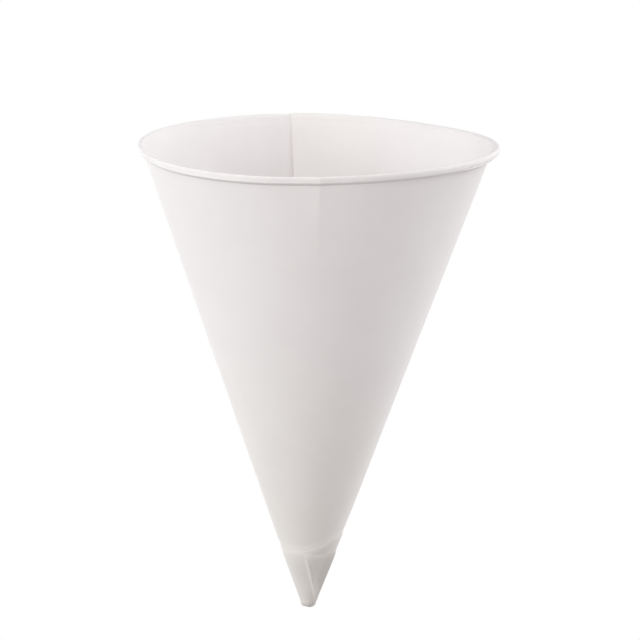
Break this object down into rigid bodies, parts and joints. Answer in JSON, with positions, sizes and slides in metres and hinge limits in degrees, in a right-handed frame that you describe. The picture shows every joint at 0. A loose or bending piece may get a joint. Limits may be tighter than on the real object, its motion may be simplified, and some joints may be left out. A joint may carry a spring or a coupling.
{
  "type": "cone paper cup",
  "caption": "Cone-shaped paper drinking cup with a rolled rim, a glued side lap and a closed point, stood on its rim.",
  "frame": {"origin": "middle of the mouth, on the plane that the rolled rim stands on", "axes": "+Z along the cone's axis, from the mouth to the point; -Y is the side that the picture shows; the sheet's inner edge is at 81 degrees about +Z from +X"},
  "size_m": [0.0816, 0.0814, 0.1067],
  "materials": {
    "paper": "matte"
  },
  "bodies": {
    "root": {"cone_cup": "paper"}
  },
  "joints": []
}
